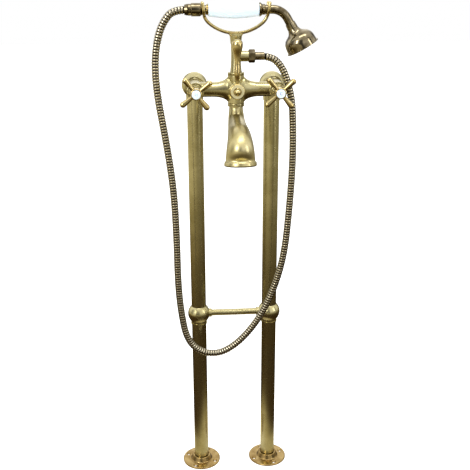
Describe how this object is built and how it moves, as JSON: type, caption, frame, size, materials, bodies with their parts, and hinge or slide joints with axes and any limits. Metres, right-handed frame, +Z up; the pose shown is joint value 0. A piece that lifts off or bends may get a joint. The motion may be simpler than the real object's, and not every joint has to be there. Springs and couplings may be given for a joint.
{
  "type": "floor standing bath shower mixer",
  "caption": "Bath mixer on a pair of floor legs, with cross handles, a tub spout, a diverter lever, and a hand shower lying in a cradle on a ribbed hose.",
  "frame": {"origin": "on the floor, midway between the axes of the two supply legs", "axes": "+Z up; +X towards the cold side, to the right of someone who faces the mixer; the handles and the spout face -Y"},
  "size_m": [0.3035, 0.2441, 1.0023],
  "materials": {
    "satin_brass": "satin, antique",
    "polished_brass": "polished, antique",
    "dark_bronze": "polished, darkened",
    "raw_brass": "machined",
    "hose_metal": "polished, darkened",
    "white_porcelain": "glossy glaze",
    "valve_ceramic": "ground flat",
    "fibre": "matt"
  },
  "bodies": {
    "stand": {"left_floor_flange": "satin_brass", "right_floor_flange": "satin_brass", "left_lower_leg": "satin_brass", "right_lower_leg": "satin_brass", "left_ball_tee": "satin_brass", "right_ball_tee": "satin_brass", "crossbar": "satin_brass", "left_upper_leg": "satin_brass", "right_upper_leg": "satin_brass", "left_elbow": "satin_brass", "right_elbow": "satin_brass", "left_union_nut": "satin_brass", "right_union_nut": "satin_brass", "union_washers": "fibre", "mixer_body": "satin_brass", "fixed_valve_discs": "valve_ceramic", "hot_headwork": "raw_brass", "cold_headwork": "raw_brass", "hot_bonnet": "satin_brass", "cold_bonnet": "satin_brass", "diverter_cover": "satin_brass", "column_ring": "satin_brass", "spout_ring": "satin_brass", "shower_column": "satin_brass", "cradle": "polished_brass", "spout_arm": "satin_brass", "spout": "satin_brass", "hose_lower_nut": "dark_bronze", "hose_lower_ferrule": "dark_bronze", "hose_lower_washer": "fibre", "shower_hose": "hose_metal"},
    "hot_tap": {"hot_handle": "polished_brass", "hot_spindle": "raw_brass", "hot_turning_disc": "valve_ceramic", "hot_handle_screw": "raw_brass", "hot_index": "white_porcelain"},
    "cold_tap": {"cold_handle": "polished_brass", "cold_spindle": "raw_brass", "cold_turning_disc": "valve_ceramic", "cold_handle_screw": "raw_brass", "cold_index": "white_porcelain"},
    "diverter": {"diverter_lever": "polished_brass", "diverter_plug": "raw_brass", "diverter_dome_nut": "polished_brass"},
    "handset": {"handset_inlet": "dark_bronze", "handset_rear_collar": "polished_brass", "porcelain_grip": "white_porcelain", "handset_core_tube": "polished_brass", "handset_front_collar": "dark_bronze", "handset_tube": "dark_bronze", "shower_bell": "dark_bronze", "spray_plate": "dark_bronze", "hose_upper_nut": "dark_bronze", "hose_upper_ferrule": "dark_bronze", "hose_upper_washer": "fibre"}
  },
  "joints": [
    {"name": "hot_tap_turn", "type": "hinge", "parent": "stand", "child": "hot_tap", "pos_m": [-0.075, -0.127, 0.846], "axis": [0, -1, 0], "range_deg": [0, 90]},
    {"name": "cold_tap_turn", "type": "hinge", "parent": "stand", "child": "cold_tap", "pos_m": [0.075, -0.127, 0.846], "axis": [0, 1, 0], "range_deg": [0, 90]},
    {"name": "diverter_turn", "type": "hinge", "parent": "stand", "child": "diverter", "pos_m": [0, -0.103, 0.846], "axis": [0, -1, 0], "range_deg": [-45, 45]},
    {"name": "handset_lift", "type": "slide", "parent": "stand", "child": "handset", "axis": [0, 0, 1], "range_m": [0, 0.12], "deforming": ["shower_hose"]}
  ]
}
